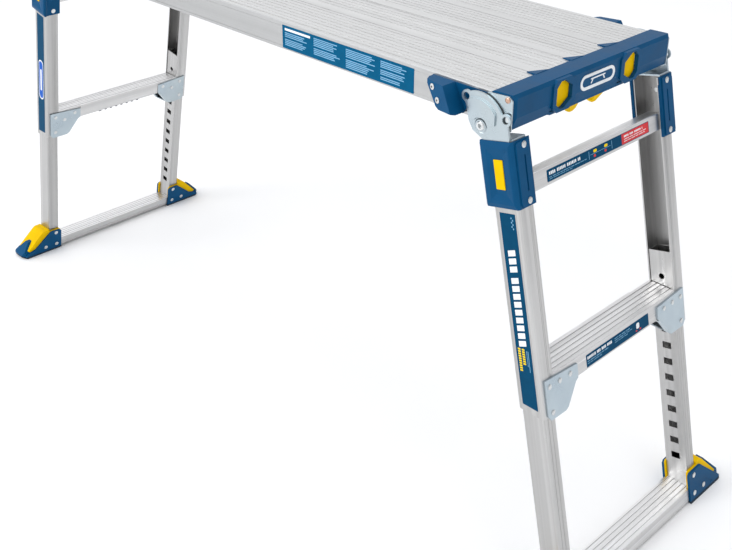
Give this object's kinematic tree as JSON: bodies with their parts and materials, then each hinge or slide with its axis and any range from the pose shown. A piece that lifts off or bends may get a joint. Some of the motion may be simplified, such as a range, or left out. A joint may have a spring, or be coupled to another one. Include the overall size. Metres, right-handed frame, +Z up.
{
  "type": "work platform bench",
  "caption": "Folding work platform with a ribbed aluminium deck on splayed leg frames that fold under it, height-adjusting inner legs, rungs, fold locks and flared non-slip feet.",
  "frame": {"origin": "on the floor under the middle of the deck, legs extended and unfolded", "axes": "+X along the deck, +Y to the rear, +Z up"},
  "size_m": [1.548, 0.5, 0.7656],
  "materials": {
    "deck_aluminium": "mill-finish ribbed extrusion",
    "leg_aluminium": "mill-finish extrusion with drawing lines",
    "rung_aluminium": "mill-finish ribbed extrusion",
    "blue_plastic": "fine-grained moulded plastic",
    "navy_plastic": "moulded plastic",
    "yellow_plastic": "moulded plastic",
    "white_plastic": "plain badge",
    "zinc_plate": "clear blue zinc-plated pressed steel",
    "steel_fasteners": "plated rivets and pins",
    "sole_rubber": "ridged non-slip sole"
  },
  "bodies": {
    "deck": {"deck_plank_front": "deck_aluminium", "deck_plank_rear": "deck_aluminium", "deck_planks_middle": "deck_aluminium", "deck_cross_members": "deck_aluminium", "end_cap_right": "blue_plastic", "end_cap_left": "blue_plastic", "cap_badges": "white_plastic", "corner_bumpers": "blue_plastic", "hinge_fixed_plates": "zinc_plate", "hinge_pivot_pins": "steel_fasteners", "deck_rivets": "steel_fasteners"},
    "leg_right": {"outer_leg_rf": "leg_aluminium", "outer_leg_rr": "leg_aluminium", "hinge_plates_right": "zinc_plate", "leg_sleeves_right": "blue_plastic", "sleeve_insets_right": "yellow_plastic", "crossbar_right": "rung_aluminium", "mid_rung_right": "rung_aluminium", "gussets_right": "zinc_plate", "leg_rivets_right": "steel_fasteners"},
    "inner_right": {"inner_leg_rf": "leg_aluminium", "inner_leg_rr": "leg_aluminium", "bottom_rung_right": "rung_aluminium", "foot_shells_right": "blue_plastic", "foot_inserts_right": "yellow_plastic", "foot_soles_right": "sole_rubber", "inner_rivets_right": "steel_fasteners"},
    "grip_right": {"height_grip_right": "navy_plastic"},
    "height_pin_rf": {"height_pin_rf": "steel_fasteners"},
    "lock_rf": {"lock_slider_rf": "yellow_plastic", "lock_pin_rf": "steel_fasteners"},
    "height_pin_rr": {"height_pin_rr": "steel_fasteners"},
    "lock_rr": {"lock_slider_rr": "yellow_plastic", "lock_pin_rr": "steel_fasteners"},
    "leg_left": {"outer_leg_lf": "leg_aluminium", "outer_leg_lr": "leg_aluminium", "hinge_plates_left": "zinc_plate", "leg_sleeves_left": "blue_plastic", "sleeve_insets_left": "yellow_plastic", "crossbar_left": "rung_aluminium", "mid_rung_left": "rung_aluminium", "gussets_left": "zinc_plate", "leg_rivets_left": "steel_fasteners"},
    "inner_left": {"inner_leg_lf": "leg_aluminium", "inner_leg_lr": "leg_aluminium", "bottom_rung_left": "rung_aluminium", "foot_shells_left": "blue_plastic", "foot_inserts_left": "yellow_plastic", "foot_soles_left": "sole_rubber", "inner_rivets_left": "steel_fasteners"},
    "grip_left": {"height_grip_left": "navy_plastic"},
    "height_pin_lf": {"height_pin_lf": "steel_fasteners"},
    "lock_lf": {"lock_slider_lf": "yellow_plastic", "lock_pin_lf": "steel_fasteners"},
    "height_pin_lr": {"height_pin_lr": "steel_fasteners"},
    "lock_lr": {"lock_slider_lr": "yellow_plastic", "lock_pin_lr": "steel_fasteners"}
  },
  "joints": [
    {"name": "leg_fold_right", "type": "hinge", "parent": "deck", "child": "leg_right", "pos_m": [0.564, 0, 0.714], "axis": [0, 1, 0], "range_deg": [0, 102.6]},
    {"name": "height_right", "type": "slide", "parent": "leg_right", "child": "inner_right", "axis": [-0.2181, 0, 0.9759], "range_m": [0, 0.2574]},
    {"name": "height_grip_right", "type": "slide", "parent": "leg_right", "child": "grip_right", "axis": [-0.2181, 0, 0.9759], "range_m": [0, 0.006], "stiffness_N_per_m": 600, "springref_m": -0.004},
    {"name": "height_pin_rf", "type": "slide", "parent": "leg_right", "child": "height_pin_rf", "axis": [0, 1, 0], "range_m": [0, 0.0081]},
    {"name": "fold_lock_rf", "type": "slide", "parent": "deck", "child": "lock_rf", "axis": [0, 1, 0], "range_m": [0, 0.012], "stiffness_N_per_m": 500, "springref_m": -0.006},
    {"name": "height_pin_rr", "type": "slide", "parent": "leg_right", "child": "height_pin_rr", "axis": [0, -1, 0], "range_m": [0, 0.0081]},
    {"name": "fold_lock_rr", "type": "slide", "parent": "deck", "child": "lock_rr", "axis": [0, -1, 0], "range_m": [0, 0.012], "stiffness_N_per_m": 500, "springref_m": -0.006},
    {"name": "leg_fold_left", "type": "hinge", "parent": "deck", "child": "leg_left", "pos_m": [-0.564, 0, 0.714], "axis": [0, -1, 0], "range_deg": [0, 102.6]},
    {"name": "height_left", "type": "slide", "parent": "leg_left", "child": "inner_left", "axis": [0.2181, 0, 0.9759], "range_m": [0, 0.2574]},
    {"name": "height_grip_left", "type": "slide", "parent": "leg_left", "child": "grip_left", "axis": [0.2181, 0, 0.9759], "range_m": [0, 0.006], "stiffness_N_per_m": 600, "springref_m": -0.004},
    {"name": "height_pin_lf", "type": "slide", "parent": "leg_left", "child": "height_pin_lf", "axis": [0, 1, 0], "range_m": [0, 0.0081]},
    {"name": "fold_lock_lf", "type": "slide", "parent": "deck", "child": "lock_lf", "axis": [0, 1, 0], "range_m": [0, 0.012], "stiffness_N_per_m": 500, "springref_m": -0.006},
    {"name": "height_pin_lr", "type": "slide", "parent": "leg_left", "child": "height_pin_lr", "axis": [0, -1, 0], "range_m": [0, 0.0081]},
    {"name": "fold_lock_lr", "type": "slide", "parent": "deck", "child": "lock_lr", "axis": [0, -1, 0], "range_m": [0, 0.012], "stiffness_N_per_m": 500, "springref_m": -0.006}
  ],
  "couplings": [
    {"joint": "height_pin_rf", "follows": "height_grip_right", "ratio": 1.3333},
    {"joint": "height_pin_rr", "follows": "height_grip_right", "ratio": 1.3333},
    {"joint": "height_pin_lf", "follows": "height_grip_left", "ratio": 1.3333},
    {"joint": "height_pin_lr", "follows": "height_grip_left", "ratio": 1.3333}
  ]
}
